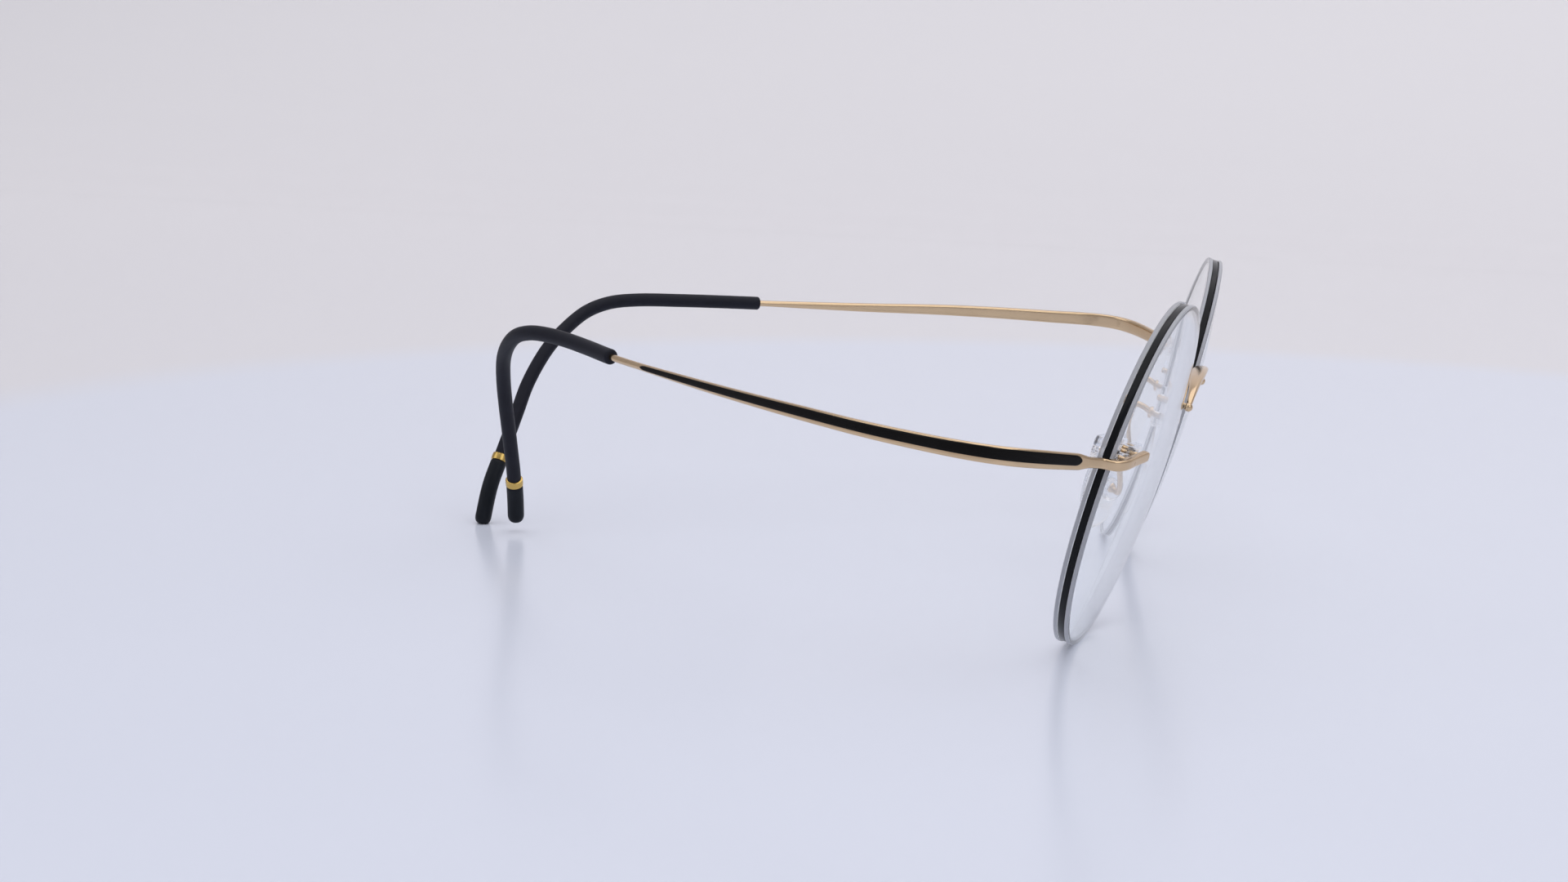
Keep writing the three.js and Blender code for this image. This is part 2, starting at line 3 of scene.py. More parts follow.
import bmesh
import bpy
import numpy as np
from mathutils import Matrix, Vector


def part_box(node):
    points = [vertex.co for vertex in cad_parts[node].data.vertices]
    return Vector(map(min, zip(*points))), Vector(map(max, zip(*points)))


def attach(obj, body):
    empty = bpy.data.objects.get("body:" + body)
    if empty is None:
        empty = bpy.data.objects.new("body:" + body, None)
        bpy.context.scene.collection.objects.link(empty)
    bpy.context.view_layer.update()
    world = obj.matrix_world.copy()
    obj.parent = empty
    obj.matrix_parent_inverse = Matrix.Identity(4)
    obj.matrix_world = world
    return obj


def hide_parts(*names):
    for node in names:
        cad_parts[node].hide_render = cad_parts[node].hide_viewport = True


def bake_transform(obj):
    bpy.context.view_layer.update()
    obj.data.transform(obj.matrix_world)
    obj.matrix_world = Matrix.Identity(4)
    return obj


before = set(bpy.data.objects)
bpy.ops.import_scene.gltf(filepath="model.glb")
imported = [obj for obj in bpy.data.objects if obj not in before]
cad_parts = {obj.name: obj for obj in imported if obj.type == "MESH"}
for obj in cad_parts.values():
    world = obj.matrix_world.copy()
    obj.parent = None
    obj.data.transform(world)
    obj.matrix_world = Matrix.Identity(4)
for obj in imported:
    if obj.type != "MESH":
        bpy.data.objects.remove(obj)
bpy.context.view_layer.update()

# ------------------------------------------------------------------ dimensions, millimetres, as in the CAD
LENS_A, LENS_B, LENS_T = 22.5, 22.0, 1.97
R_FRONT, R_REAR = 120.0, 118.0
HALF_SPACING, LEAN, WRAP = 32.1, 14.7, 5.9
GROOVE_W, GROOVE_D = 0.95, 0.60
RING_W, RING_OUT = 0.86, 0.16
PIN_R, TUBE_R = 0.40, 0.66
PLATE_H, PLATE_TH = 1.25, 0.95
TEMPLE_V, BRIDGE_V, PADARM_V = 5.0, 7.2, 4.9
PIN_PITCH = 2.5
SLEEVE_R, WIRE_R, CAP_R, RING_TIP_R = 1.02, 0.45, 1.20, 1.28
S_FLEX = 2.2
S_INLAY = (4.2, 75.5)
# temple centre lines, both written for the left side; the two hand-bent wires differ a little
PATHS = {
    1: [
        (55.00, 0.80, 26.60), (67.45, 11.25, 28.70), (65.04, 23.80, 29.40), (58.89, 37.27, 30.10), (50.63, 50.75, 30.60),
        (41.95, 63.60, 31.28), (37.78, 69.67, 31.61), (33.65, 75.69, 31.88), (30.52, 81.84, 31.91), (28.63, 85.57, 31.45),
        (26.36, 88.44, 30.20), (23.05, 90.87, 27.65), (20.01, 92.64, 24.78), (16.63, 94.35, 20.12), (13.94, 95.11, 15.86),
        (12.11, 95.69, 12.72), (10.10, 96.35, 9.25), (8.13, 97.09, 5.48), (6.60, 97.75, 0.0),
    ],
    -1: [
        (55.00, 0.80, 26.60), (66.73, 11.93, 28.70), (62.95, 24.14, 29.40), (55.33, 36.83, 30.10), (45.61, 49.31, 30.60),
        (35.52, 61.47, 31.20), (30.95, 66.96, 31.57), (27.17, 71.22, 32.02), (24.08, 75.30, 32.45), (22.15, 78.42, 32.66),
        (20.34, 81.26, 32.55), (18.10, 83.96, 31.79), (15.15, 86.27, 30.10), (11.55, 88.25, 27.46), (8.57, 89.30, 24.13),
        (6.03, 89.85, 20.40), (3.78, 90.20, 16.85), (1.66, 90.50, 13.23), (-0.46, 90.80, 9.58), (-2.43, 91.12, 5.23),
        (-3.41, 91.29, 1.51),
    ],
}
SLEEVE_S = {1: 77.5, -1: 82.7}
RING_S = {1: 133.6, -1: 137.6}
STRIP = [
    (0, 0.47, 0.62, 0.5), (2.6, 0.47, 0.62, 0.5), (4.3, 0.49, 0.94, 0.5), (6, 0.50, 0.98, 0.5), (10, 0.50, 1.04, 0.5), (14, 0.52, 1.06, 0.5),
    (20, 0.52, 1.02, 0.5), (31, 0.52, 0.94, 0.5), (43, 0.50, 0.86, 0.55), (52, 0.50, 0.76, 0.6), (61, 0.48, 0.66, 0.7), (70, 0.46, 0.54, 0.85),
    (76, WIRE_R, WIRE_R, 1), (200, WIRE_R, WIRE_R, 1),
]
# the frame's origin against the solids: taken from the lenses of the imported model
l0, l1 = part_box("lens_left")
r0, r1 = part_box("lens_right")
DX = (l0.x + l1.x + r0.x + r1.x) / 4 * 1000
DY = (l0.y + l1.y) / 2 * 1000 - 0.0019
SHIFT = np.array([DX, DY, 0.0])
V = lambda *a: np.array(a, float)
unit = lambda v: v / np.linalg.norm(v)

# ------------------------------------------------------------------ curves and sweeps


class Curve:
    """Centripetal Catmull-Rom curve through points, by arc length."""

    def __init__(self, pts, n=2400):
        P = np.array(pts, float)
        k = len(P) - 1
        out = []
        for j in range(n + 1):
            t = j / n * k
            i = min(int(t), k - 1)
            w = t - i
            p1, p2 = P[i], P[i + 1]
            p0 = P[i - 1] if i > 0 else 2 * P[0] - P[1]
            p3 = P[i + 2] if i + 2 <= k else 2 * P[k] - P[k - 1]
            d0, d1, d2 = (max(np.linalg.norm(b - a) ** 0.5, 1e-4) for a, b in ((p0, p1), (p1, p2), (p2, p3)))
            t1 = ((p1 - p0) / d0 - (p2 - p0) / (d0 + d1) + (p2 - p1) / d1) * d1
            t2 = ((p2 - p1) / d1 - (p3 - p1) / (d1 + d2) + (p3 - p2) / d2) * d1
            c2 = -3 * p1 + 3 * p2 - 2 * t1 - t2
            c3 = 2 * p1 - 2 * p2 + t1 + t2
            out.append(p1 + t1 * w + c2 * w * w + c3 * w ** 3)
        self.p = np.array(out)
        self.s = np.r_[0, np.cumsum(np.linalg.norm(np.diff(self.p, axis=0), axis=1))]
        self.L = self.s[-1]

    def at(self, s):
        return np.array([np.interp(s, self.s, self.p[:, k]) for k in range(3)]).T

    def tan(self, s):
        e = 0.15
        a, b = np.clip(s - e, 0, self.L), np.clip(s + e, 0, self.L)
        return unit(self.at(b) - self.at(a))


def frames(crv, S, up):
    P = np.array([crv.at(s) for s in S])
    T = np.array([crv.tan(s) for s in S])
    r = unit(np.cross(T[0], up))
    R = [r]
    for i in range(len(S) - 1):
        v1 = P[i + 1] - P[i]
        c1 = v1 @ v1
        rl = r - 2 / c1 * (v1 @ r) * v1
        tl = T[i] - 2 / c1 * (v1 @ T[i]) * v1
        v2 = T[i + 1] - tl
        c2 = v2 @ v2
        r = rl if c2 < 1e-12 else rl - 2 / c2 * (v2 @ rl) * v2
        r = unit(r)
        R.append(r)
    R = np.array(R)
    return P, T, R, np.cross(R, T)


def sweep(crv, S, sec, sides=28, up=V(0, 0, 1), frame0=None):
    """Rings of vertices along a curve. sec(s) gives half thickness, half height, corner exponent, side offset."""
    P, T, R, Up = frame0 if frame0 else frames(crv, S, up)
    verts, faces = [], []
    for i, s in enumerate(S):
        w, h, e, off, *lift = sec(s)
        lift = lift[0] if lift else 0
        for j in range(sides):
            a = 2 * math.pi * j / sides
            c, q = math.cos(a), math.sin(a)
            x = math.copysign(abs(c) ** e, c) * w + off
            y = math.copysign(abs(q) ** e, q) * h + lift
            verts.append(P[i] + R[i] * x + Up[i] * y)
    n = len(S)
    for i in range(n - 1):
        for j in range(sides):
            a, b = i * sides + j, i * sides + (j + 1) % sides
            faces.append((a, b, b + sides, a + sides))
    faces.append(tuple(range(sides))[::-1])
    faces.append(tuple((n - 1) * sides + j for j in range(sides)))
    return verts, faces


def lathe(profile, n):
    """Closed profile of (r, w) turned round the w axis; the first and last points may lie on the axis."""
    verts, faces, idx = [], [], []
    for r, w in profile:
        if r < 1e-9:
            idx.append([len(verts)] * n)
            verts.append(V(0, 0, w))
        else:
            idx.append(list(range(len(verts), len(verts) + n)))
            verts += [V(r * math.cos(2 * math.pi * k / n), r * math.sin(2 * math.pi * k / n), w) for k in range(n)]
    closed = profile[0][0] > 1e-9
    m = len(profile)
    for i in range(m if closed else m - 1):
        a, b = idx[i], idx[(i + 1) % m]
        for k in range(n):
            k2 = (k + 1) % n
            f = [a[k], a[k2], b[k2], b[k]]
            f = [x for q, x in enumerate(f) if x not in f[:q]]
            if len(f) > 2:
                faces.append(tuple(f))
    return verts, faces


def ball(c, r, n=24, m=16):
    prof = [(r * math.sin(math.pi * i / m), -r * math.cos(math.pi * i / m)) for i in range(m + 1)]
    prof[0], prof[-1] = (0, -r), (0, r)
    v, f = lathe(prof, n)
    return [q + c for q in v], f


def rod(a, b, r, n=20, round_end=0.0):
    d = unit(b - a)
    x = unit(np.cross(d, V(0, 0, 1) if abs(d[2]) < 0.9 else V(1, 0, 0)))
    y = np.cross(d, x)
    L = np.linalg.norm(b - a)
    prof = [(0, 0), (r, 0), (r, L - round_end), (r - round_end, L), (0, L)] if round_end else [(0, 0), (r, 0), (r, L), (0, L)]
    v, f = lathe(prof, n)
    return [a + x * q[0] + y * q[1] + d * q[2] for q in v], f


def mesh(name, parts, mirror=False, world=None):
    """One object from several closed shells in millimetres. world maps a point to the row frame, still in mm."""
    verts, faces, o = [], [], 0
    for v, f in parts:
        verts += [np.array(p, float) for p in v]
        faces += [tuple(i + o for i in q) for q in f]
        o = len(verts)
    if mirror:
        verts = [p * V(-1, 1, 1) for p in verts]
    if world:
        verts = [world(p) for p in verts]
    me = bpy.data.meshes.new(name)
    me.from_pydata([tuple((p + SHIFT) / 1000) for p in verts], [], faces)
    me.validate()
    bm = bmesh.new()
    bm.from_mesh(me)
    bmesh.ops.recalc_face_normals(bm, faces=bm.faces)
    bm.to_mesh(me)
    bm.free()
    ob = bpy.data.objects.new(name, me)
    bpy.context.scene.collection.objects.link(ob)
    return ob


def smooth(ob, angle=32):
    ob.data.shade_smooth()
    ob.data.set_sharp_from_angle(angle=math.radians(angle))
    return ob


# ------------------------------------------------------------------ materials


def nodes_of(name):
    m = bpy.data.materials.new(name)
    m.use_nodes = True
    nt = m.node_tree
    b = next(n for n in nt.nodes if n.type == "BSDF_PRINCIPLED")
    return m, nt, b


def vary(nt, b, base, spread, scale, rough, rough_spread, bump=0.0, bump_scale=None, detail=4):
    """Small procedural variation of colour, roughness and height, in object space."""
    tc = nt.nodes.new("ShaderNodeTexCoord")
    nz = nt.nodes.new("ShaderNodeTexNoise")
    nz.inputs["Scale"].default_value = scale
    nz.inputs["Detail"].default_value = detail
    nt.links.new(tc.outputs["Object"], nz.inputs["Vector"])
    ramp = nt.nodes.new("ShaderNodeValToRGB")
    ramp.color_ramp.elements[0].position = 0.3
    ramp.color_ramp.elements[1].position = 0.7
    ramp.color_ramp.elements[0].color = tuple(c * (1 - spread) for c in base) + (1,)
    ramp.color_ramp.elements[1].color = tuple(min(1, c * (1 + spread)) for c in base) + (1,)
    nt.links.new(nz.outputs["Fac"], ramp.inputs["Fac"])
    nt.links.new(ramp.outputs["Color"], b.inputs["Base Color"])
    mr = nt.nodes.new("ShaderNodeMapRange")
    mr.inputs["To Min"].default_value = rough - rough_spread
    mr.inputs["To Max"].default_value = rough + rough_spread
    nt.links.new(nz.outputs["Fac"], mr.inputs["Value"])
    nt.links.new(mr.outputs["Result"], b.inputs["Roughness"])
    if bump:
        n2 = nt.nodes.new("ShaderNodeTexNoise")
        n2.inputs["Scale"].default_value = bump_scale or scale * 6
        n2.inputs["Detail"].default_value = 3
        nt.links.new(tc.outputs["Object"], n2.inputs["Vector"])
        bp = nt.nodes.new("ShaderNodeBump")
        bp.inputs["Strength"].default_value = bump
        bp.inputs["Distance"].default_value = 0.00005
        nt.links.new(n2.outputs["Fac"], bp.inputs["Height"])
        nt.links.new(bp.outputs["Normal"], b.inputs["Normal"])


def gold_mat():
    m, nt, b = nodes_of("rose_gold")
    b.inputs["Metallic"].default_value = 1.0
    vary(nt, b, (0.66, 0.485, 0.305), 0.04, 160, 0.17, 0.03)
    return m


def band_mat():
    m, nt, b = nodes_of("yellow_gold_band")
    b.inputs["Metallic"].default_value = 1.0
    vary(nt, b, (0.62, 0.42, 0.13), 0.04, 200, 0.24, 0.03)
    return m


def enamel_mat():
    m, nt, b = nodes_of("black_enamel")
    vary(nt, b, (0.005, 0.0042, 0.004), 0.2, 300, 0.25, 0.04)
    b.inputs["Specular IOR Level"].default_value = 0.12
    return m


def ring_mat():
    m, nt, b = nodes_of("gloss_black_ring")
    vary(nt, b, (0.004, 0.0045, 0.006), 0.2, 260, 0.20, 0.03)
    b.inputs["Specular IOR Level"].default_value = 0.16
    return m


def sleeve_mat():
    m, nt, b = nodes_of("slate_silicone")
    vary(nt, b, (0.0115, 0.0120, 0.0190), 0.12, 900, 0.50, 0.05, bump=0.35, bump_scale=9000)
    b.inputs["Specular IOR Level"].default_value = 0.16
    return m


def cap_mat():
    m, nt, b = nodes_of("black_tip")
    vary(nt, b, (0.006, 0.008, 0.012), 0.15, 900, 0.42, 0.04, bump=0.2, bump_scale=7000)
    b.inputs["Specular IOR Level"].default_value = 0.18
    return m


def clear(name, tint, rough, transmission=1.0, ior=1.5, spread=0.02, through=True, shadow=(1, 1, 1)):
    m, nt, b = nodes_of(name)
    b.inputs["Transmission Weight"].default_value = transmission
    b.inputs["IOR"].default_value = ior
    vary(nt, b, tint, spread, 80, rough, min(rough, 0.01))
    if through:
        out = next(n for n in nt.nodes if n.type == "OUTPUT_MATERIAL")
        lp = nt.nodes.new("ShaderNodeLightPath")
        tr = nt.nodes.new("ShaderNodeBsdfTransparent")
        tr.inputs["Color"].default_value = (*shadow, 1)
        mx = nt.nodes.new("ShaderNodeMixShader")
        nt.links.new(lp.outputs["Is Shadow Ray"], mx.inputs["Fac"])
        nt.links.new(b.outputs["BSDF"], mx.inputs[1])
        nt.links.new(tr.outputs["BSDF"], mx.inputs[2])
        nt.links.new(mx.outputs["Shader"], out.inputs["Surface"])
    return m


GOLD, BAND, ENAMEL, RING, SLEEVE, CAP = gold_mat(), band_mat(), enamel_mat(), ring_mat(), sleeve_mat(), cap_mat()
GLASS = clear("lens_clear", (0.97, 0.985, 0.99), 0.0, shadow=(0.95, 0.95, 0.95))
EDGE = clear("lens_edge_frosted", (0.62, 0.63, 0.67), 0.32, transmission=0.40, shadow=(0.85, 0.85, 0.86))
NYLON = clear("clear_nylon", (0.96, 0.965, 0.98), 0.12, ior=1.14, shadow=(0.9, 0.9, 0.9))
PADM_ = clear("clear_silicone", (0.965, 0.965, 0.96), 0.22, ior=1.16, shadow=(0.9, 0.9, 0.9))


def coat(ob, *mats):
    ob.data.materials.clear()
    for m in mats:
        ob.data.materials.append(m)
    return ob


def node_mat(node, m):
    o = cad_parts[node]
    for s in o.material_slots:
        s.material = m


# ------------------------------------------------------------------ lens frame (left side)
be, wr = math.radians(LEAN), math.radians(WRAP)
n0 = V(0, -math.cos(be), -math.sin(be))
U = V(0, -math.sin(be), math.cos(be))
E = V(1, 0, 0) * math.cos(wr) - n0 * math.sin(wr)
N = n0 * math.cos(wr) + V(1, 0, 0) * math.sin(wr)
C = V(HALF_SPACING, 0, LENS_B * math.cos(be) + 0.5 * LENS_T * math.sin(be) + 0.01)
at = lambda u, v, w: C + E * u + U * v + N * w
sag = lambda R, r: R - math.sqrt(R * R - r * r)
frontW = lambda r: LENS_T / 2 + sag(R_FRONT, LENS_B) - sag(R_FRONT, r)
rearW = lambda r: -LENS_T / 2 + sag(R_REAR, LENS_B) - sag(R_REAR, r)
edgeU = lambda v: LENS_A * math.sqrt(1 - (v / LENS_B) ** 2)
T_U = [edgeU(TEMPLE_V) - 1.75, edgeU(TEMPLE_V) - 1.75 - PIN_PITCH]
T_V = [TEMPLE_V + 0.35, TEMPLE_V + 0.80]
B_U = -(edgeU(BRIDGE_V) - 1.9)
A_U = -(edgeU(PADARM_V) - 2.0)
to_lens = lambda p: at(p[0] * LENS_A / LENS_B, p[1], p[2])

TEMPLE = {k: Curve(v) for k, v in PATHS.items()}


def table(s):
    for a, b in zip(STRIP, STRIP[1:]):
        if s <= b[0]:
            k = min(1, max(0, (s - a[0]) / (b[0] - a[0])))
            return [x + (y - x) * k for x, y in zip(a, b)][1:]
    return STRIP[-1][1:]


# ------------------------------------------------------------------ lenses and accent rings


def lens_profile():
    g, ch = GROOVE_W / 2, 0.12
    R = LENS_B
    p = [(R * i / 26, frontW(R * i / 26)) for i in range(26)]
    fr, rr = frontW(R), rearW(R)
    p += [(R - ch, frontW(R - ch)), (R, fr - ch), (R, g + 0.03), (R - 0.03, g), (R - GROOVE_D, g * 0.95), (R - GROOVE_D, -g * 0.95), (R - 0.03, -g), (R, -g - 0.03), (R, rr + ch), (R - ch, rearW(R - ch))]
    p += [(R * i / 26, rearW(R * i / 26)) for i in range(25, -1, -1)]
    return p


def make_lens(side):
    name = "left" if side > 0 else "right"
    prof = lens_profile()
    v, f = lathe(prof, 180)
    ob = mesh("lens_body_" + name, [([to_lens(q) for q in v], f)], mirror=side < 0)
    coat(ob, GLASS, EDGE)
    # the ground rim either side of the groove
    mid = (V(HALF_SPACING * side, 0, C[2]) + SHIFT) / 1000
    Ns = N * V(side, 1, 1)
    Es = E * V(side, 1, 1)
    for p in ob.data.polygons:
        c = np.array(p.center) - mid
        u, vv = (c @ Es) * 1000 * LENS_B / LENS_A, (c @ U) * 1000
        if math.hypot(u, vv) > LENS_B - 0.10:
            p.material_index = 1
    for u, vv in [(T_U[0], T_V[0]), (T_U[1], T_V[1]), (B_U, BRIDGE_V), (A_U, PADARM_V)]:
        cut = mesh("cut", [rod(at(u, vv, -6), at(u, vv, 6), 0.73, 28)], mirror=side < 0)
        md = ob.modifiers.new("hole", "BOOLEAN")
        md.object = cut
        md.operation = "DIFFERENCE"
        md.solver = "EXACT"
        bpy.context.view_layer.objects.active = ob
        with bpy.context.temp_override(object=ob, active_object=ob, selected_objects=[ob]):
            bpy.ops.object.modifier_apply(modifier=md.name)
        bpy.data.objects.remove(cut)
    smooth(ob, 25)
    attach(ob, "front")
    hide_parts("lens_" + name)

    ro, ri, h = LENS_B - RING_OUT, LENS_B - 0.52, RING_W / 2
    rp = [(ri, -h * 0.9)] + [(ro - 0.14 + 0.14 * math.sin(a), -h + 0.14 - 0.14 * math.cos(a)) for a in np.linspace(0, math.pi / 2, 5)]
    rp += [(ro + 0.02, 0)] + [(ro - 0.14 + 0.14 * math.cos(a), h - 0.14 + 0.14 * math.sin(a)) for a in np.linspace(0, math.pi / 2, 5)] + [(ri, h * 0.9)]
    v, f = lathe(rp, 220)
    ring = mesh("groove_ring_" + name, [([to_lens(q) for q in v], f)], mirror=side < 0)
    coat(ring, RING)
    smooth(ring, 50)
    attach(ring, "front")
    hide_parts("accent_ring_" + name)


# ------------------------------------------------------------------ gold end piece, neck and temple wire in one
uE = edgeU(TEMPLE_V)
slope = (uE - 2) / R_FRONT
wPlate = frontW(uE - 3.0) + 1.72
pEnd = at(uE - 5.0, TEMPLE_V + 1.0, wPlate + 2.0 * slope * 1.2)
pCorner = at(uE + 0.75, TEMPLE_V, wPlate - 1.1)


def joined_curve(side):
    """Plate, corner, neck and wire as one polyline, with its own arc length."""
    temple = TEMPLE[side]
    pB = temple.at(0)
    ab = unit(pCorner - pEnd)
    pts = [pEnd, pEnd + (pCorner - pEnd) * 0.45, pCorner - ab * 0.7, pCorner + ab * 0.15 + unit(pB - pCorner) * 0.55]
    pts += [temple.at(s) for s in np.arange(0.4, 6.1, 1.4)]
    endc = Curve(pts)
    q = temple.at(5.0)
    s_end = endc.s[np.argmin(np.linalg.norm(endc.p - q, axis=1))]
    a = np.array([endc.at(s) for s in np.arange(0, s_end, 0.12)])
    b = np.array([temple.at(s) for s in np.arange(5.0, temple.L - 2.2, 0.2)])
    P = np.vstack([a, b])
    for _ in range(2):
        P[1:-1] = 0.25 * P[:-2] + 0.5 * P[1:-1] + 0.25 * P[2:]
    c = Curve.__new__(Curve)
    c.p = P
    c.s = np.r_[0, np.cumsum(np.linalg.norm(np.diff(P, axis=0), axis=1))]
    c.L = c.s[-1]
    return c, s_end - 5.0


def make_metal(side):
    name = "left" if side > 0 else "right"
    metal, off = joined_curve(side)      # arc length on metal = arc length on the temple line + off
    S = [0.0, 0.03, 0.08, 0.16, 0.28, 0.42] + list(np.arange(0.6, off + 14, 0.22)) + list(np.arange(off + 14, metal.L - 0.3, 0.8)) + [metal.L]

    def sec(s):
        t = s - off
        w, h, e = table(max(0, t))
        k = min(1, max(0, (t + 1.6) / 2.0))
        k = k * k * (3 - 2 * k)
        w = PLATE_TH / 2 + (w - PLATE_TH / 2) * k
        h = PLATE_H / 2 + (h - PLATE_H / 2) * k
        r = 0.42
        if s < r:                        # the cut end is rounded off in height
            h *= 0.62 + 0.38 * math.sqrt(max(0, 1 - (1 - s / r) ** 2))
            w *= 0.90 + 0.10 * min(1, s / 0.16)
        return w, h, e if t > 60 else 0.45 + (e - 0.5), 0
    # the plate lies flat on the lens and the wire stands upright: the twist between the two sits in the neck
    P, T, R, Up = frames(metal, S, U)
    tw = np.arange(0, TEMPLE[side].L, 0.5)
    RW = frames(TEMPLE[side], tw, V(0, 0, 1))[2]
    for i, s in enumerate(S):
        t = s - off
        want = np.array([np.interp(max(0, t), tw, RW[:, k]) for k in range(3)])
        want = unit(want - T[i] * (want @ T[i]))
        phi = math.atan2(np.cross(R[i], want) @ T[i], R[i] @ want)
        k = min(1, max(0, (t + 1.2) / 2.4))
        phi *= k * k * (3 - 2 * k)
        R[i] = R[i] * math.cos(phi) + np.cross(T[i], R[i]) * math.sin(phi)
    body = sweep(metal, S, sec, sides=40, frame0=(P, T, R, np.cross(R, T)))
    pins = [rod(at(u, v, wPlate), at(u, v, rearW(u) + 0.1), PIN_R, 20, 0.12) for u, v in zip(T_U, T_V)]
    ob = mesh("temple_metal_" + name, [body] + pins, mirror=side < 0)
    coat(ob, GOLD)
    smooth(ob, 38)
    f = TEMPLE[side].at(S_FLEX) * V(side, 1, 1)
    t = TEMPLE[side].tan(S_FLEX) * V(side, 1, 1)
    t = unit(V(t[0] * 0.5, abs(t[1]) + 0.25, t[2]))
    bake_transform(ob)
    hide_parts("endpiece_" + name, "temple_wire_" + name)


def make_inlay(side):
    name = "left" if side > 0 else "right"
    temple = TEMPLE[side]
    a, b = S_INLAY
    S = [a + 1.1 * (1 - math.cos(t)) for t in np.linspace(0, math.pi / 2, 9)][:-1] + list(np.arange(a + 1.1, b - 1.1, 0.8)) + [b - 1.1 + 1.1 * math.sin(t) for t in np.linspace(0, math.pi / 2, 7)]
    SW = [0.0] + list(np.arange(0.5, a, 0.5)) + S
    fr = frames(temple, SW, V(0, 0, 1))
    k = len(SW) - len(S)
    fr = tuple(x[k:] for x in fr)
    sgn = 1 if fr[2][4][0] > 0 else -1

    def sec(s):
        w, h, e = table(s)
        d = min(s - a, b - s) / 1.1
        end = 1 if d >= 1 else math.sqrt(max(0.0004, 1 - (1 - d) ** 2))
        return 0.075, max(0.16, h * 0.62) * end, 0.7, sgn * (w + 0.012), 0.18 * (h - WIRE_R) / 0.55
    ob = mesh("enamel_stripe_" + name, [sweep(temple, S, sec, sides=20, frame0=fr)], mirror=side < 0)
    coat(ob, ENAMEL)
    smooth(ob, 50)
    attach(ob, "temple_" + name)
    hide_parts("enamel_inlay_" + name)


def make_sleeve_set(side):
    name = "left" if side > 0 else "right"
    temple, S_RING = TEMPLE[side], RING_S[side]
    s0, s1 = SLEEVE_S[side], S_RING - 0.55
    r = 0.34
    S = [s0 + r * (1 - math.cos(t)) for t in np.linspace(0, math.pi / 2, 7)] + list(np.arange(s0 + 0.9, s1, 0.6)) + [s1]

    def sec(s):
        d = (s - s0) / r
        q = SLEEVE_R - (0 if d >= 1 else r * (1 - math.sqrt(max(0, 1 - (1 - d) ** 2))))
        return q, q, 1, 0
    ob = mesh("silicone_sleeve_" + name, [sweep(temple, S, sec, sides=32)], mirror=side < 0)
    coat(ob, SLEEVE)
    smooth(ob, 50)
    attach(ob, "temple_" + name)
    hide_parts("ear_sleeve_" + name)

    S = [S_RING - 0.58, S_RING - 0.56, S_RING - 0.48, S_RING, S_RING + 0.48, S_RING + 0.56, S_RING + 0.58]
    rr = dict(zip(S, (0.9, 1.14, RING_TIP_R - 0.03, RING_TIP_R, RING_TIP_R - 0.03, 1.14, 0.9)))
    ob = mesh("gold_band_" + name, [sweep(temple, S, lambda s: (rr[s], rr[s], 1, 0), sides=36)], mirror=side < 0)
    coat(ob, BAND)
    smooth(ob, 40)
    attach(ob, "temple_" + name)
    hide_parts("tip_ring_" + name)

    c0, c1 = S_RING + 0.55, temple.L
    S = [c0, c0 + 0.05, c0 + 0.2] + list(np.arange(c0 + 0.6, c1 - 1.2, 0.4)) + [c1 - 1.1 + 1.1 * math.sin(t) for t in np.linspace(0, math.pi / 2, 9)]

    def cs(s):
        d = (c1 - s) / 1.1
        q = CAP_R if d >= 1 else max(0.12, CAP_R * (0.45 + 0.55 * math.sqrt(max(0, 1 - (1 - d) ** 2))))
        if s < c0 + 0.1:
            q -= 0.08
        return q, q, 1, 0
    ob = mesh("tip_" + name, [sweep(temple, S, cs, sides=32)], mirror=side < 0)
    for vtx in ob.data.vertices:
        vtx.co.z = max(vtx.co.z, 0.000005)
    coat(ob, CAP)
    smooth(ob, 50)
    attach(ob, "temple_" + name)
    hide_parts("tip_cap_" + name)


# ------------------------------------------------------------------ bridge


def make_bridge():
    wB = frontW(math.hypot(B_U, BRIDGE_V)) + 0.75
    b0 = at(B_U, BRIDGE_V, wB)
    x0 = b0[0]
    half = [b0, V(x0 * 0.80, b0[1] - 0.25, b0[2] + 1.45), V(x0 * 0.53, b0[1] - 0.35, b0[2] + 2.45), V(x0 * 0.25, b0[1] - 0.4, b0[2] + 2.9), V(0, b0[1] - 0.4, b0[2] + 3.05)]
    pts = half + [h * V(-1, 1, 1) for h in half[-2::-1]]
    crv = Curve(pts)

    def sec(s):
        t = abs(s / crv.L - 0.5) * 2
        leaf = max(0, math.cos(min(1, t) * math.pi / 2)) ** 1.3
        return 0.31 + 0.16 * leaf, 0.34 + 0.70 * leaf, 0.8, 0
    parts = [sweep(crv, list(np.linspace(0, crv.L, 90)), sec, sides=32, up=V(0, -1, 0))]
    for sx in (1, -1):
        m = V(sx, 1, 1)
        parts.append(ball(b0 * m, 0.57))
        parts.append(rod(at(B_U, BRIDGE_V, wB) * m, at(B_U, BRIDGE_V, rearW(math.hypot(B_U, BRIDGE_V)) - 1.2) * m, PIN_R, 20, 0.12))
    ob = mesh("bridge_arch", parts)
    coat(ob, GOLD)
    smooth(ob, 50)
    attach(ob, "front")
    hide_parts("bridge")


# ------------------------------------------------------------------ pads
aRear = rearW(math.hypot(A_U, PADARM_V))
pPin = at(A_U, PADARM_V, aRear - 1.45)
PAD_C = V(8.6, 5.2, 15.2)
padN = unit(V(-0.72, 0.66, 0.20))
padUp = V(0.24, -0.05, 0.97)
padUp = unit(padUp - padN * (padUp @ padN))
padSide = unit(np.cross(padUp, padN))
padAt = lambda a, b, c: PAD_C + padSide * a + padUp * b + padN * c
BALL = padAt(0, 1.0, -2.4)


